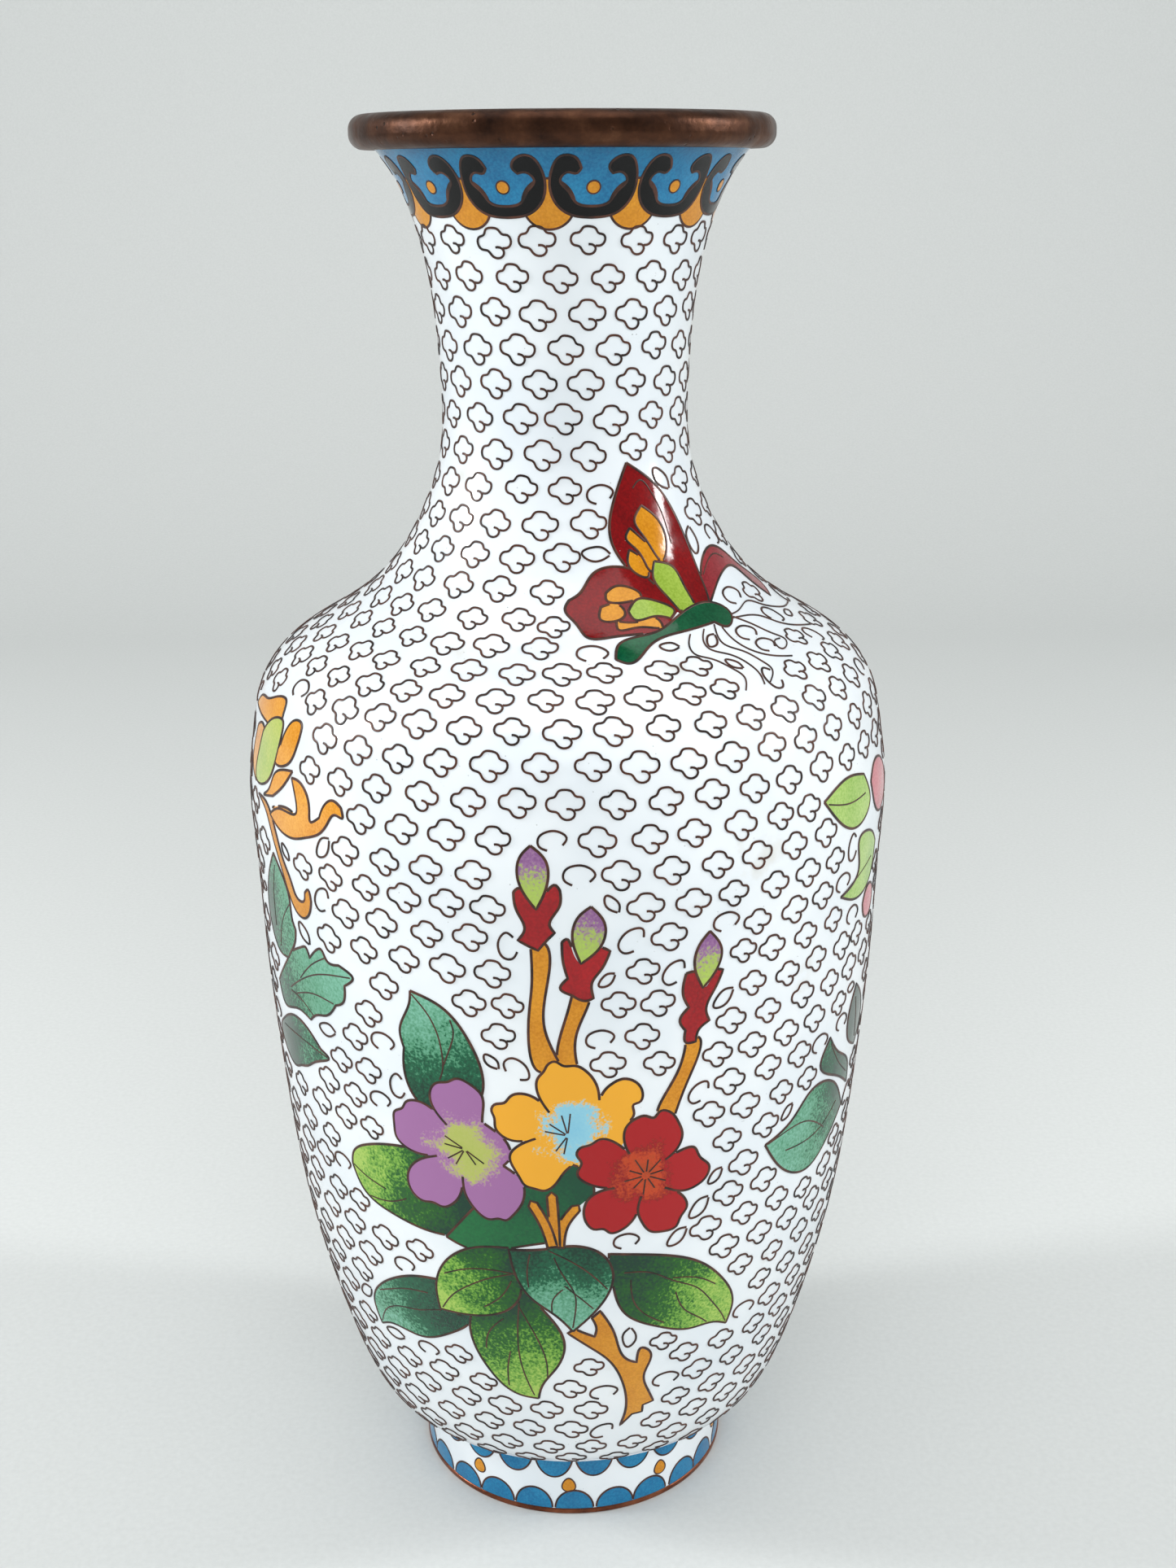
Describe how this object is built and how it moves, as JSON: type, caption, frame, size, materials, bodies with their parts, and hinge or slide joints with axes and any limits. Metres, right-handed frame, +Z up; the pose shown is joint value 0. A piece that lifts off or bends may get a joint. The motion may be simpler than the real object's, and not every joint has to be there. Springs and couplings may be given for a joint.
{
  "type": "cloisonne vase",
  "caption": "Round-bellied cloisonne enamel vase on a copper foot ring, with a slim neck, a flared mouth and a rolled copper rim; floral spray and butterfly.",
  "frame": {"origin": "centre of the foot ring's underside, where the vase rests", "axes": "+Z up along the vase's axis; the flower spray and its front side look along -Y; +X is to the right of someone who faces that side"},
  "size_m": [0.1044, 0.1044, 0.23],
  "materials": {
    "copper": "satin, reddish brown copper",
    "patinated_copper": "satin, dark mottled patina",
    "wire": "dark, tarnished",
    "inner_enamel": "gloss",
    "white_enamel": "gloss",
    "turquoise_enamel": "gloss",
    "black_enamel": "gloss",
    "ochre_enamel": "gloss",
    "yellow_enamel": "gloss",
    "orange_enamel": "gloss",
    "red_enamel": "gloss",
    "mauve_enamel": "gloss",
    "light_blue_enamel": "gloss",
    "pale_green_enamel": "gloss",
    "green_enamel": "gloss",
    "dark_green_enamel": "gloss",
    "teal_enamel": "gloss"
  },
  "bodies": {
    "root": {"copper_lower_body": "copper", "copper_upper_body": "copper", "copper_neck": "copper", "mouth_rim": "patinated_copper", "foot_ring": "copper", "lining_enamel": "inner_enamel", "underside_enamel": "inner_enamel", "ground_enamel": "white_enamel", "foot_enamel": "white_enamel", "collar_white_enamel": "white_enamel", "collar_enamel": "turquoise_enamel", "foot_scallops_upper": "turquoise_enamel", "foot_scallops_lower": "turquoise_enamel", "collar_heads": "black_enamel", "collar_discs": "ochre_enamel", "collar_lappets": "ochre_enamel", "foot_drops": "ochre_enamel", "blossom_red": "red_enamel", "blossom_red_centre": "orange_enamel", "blossom_yellow": "yellow_enamel", "blossom_yellow_centre": "light_blue_enamel", "blossom_mauve": "mauve_enamel", "blossom_mauve_centre": "pale_green_enamel", "twig": "ochre_enamel", "branch": "ochre_enamel", "bud_stems": "ochre_enamel", "buds": "mauve_enamel", "calyxes": "red_enamel", "leaf_heart": "teal_enamel", "leaf_drooping": "green_enamel", "leaf_hanging": "green_enamel", "leaf_right": "green_enamel", "leaf_teal": "teal_enamel", "leaf_shade": "dark_green_enamel", "leaf_broad": "green_enamel", "leaf_upper": "teal_enamel", "butterfly_body": "dark_green_enamel", "butterfly_cells_green": "pale_green_enamel", "butterfly_cells_ochre": "ochre_enamel", "butterfly_wing_lower": "red_enamel", "butterfly_wing_upper": "red_enamel", "butterfly_wing_far": "red_enamel", "chrysanthemum_heart": "pale_green_enamel", "chrysanthemum_petals": "ochre_enamel", "chrysanthemum_stalk": "ochre_enamel", "chrysanthemum_leaves": "teal_enamel", "peony_petals": "mauve_enamel", "peony_leaves": "green_enamel", "peony_low_leaves": "teal_enamel", "back_blossom": "red_enamel", "back_blossom_centre": "pale_green_enamel", "back_branch": "ochre_enamel", "back_leaves": "teal_enamel", "spray_wires": "wire", "butterfly_wires": "wire", "chrysanthemum_wires": "wire", "peony_wires": "wire", "back_wires": "wire", "collar_wires": "wire"}
  },
  "joints": []
}
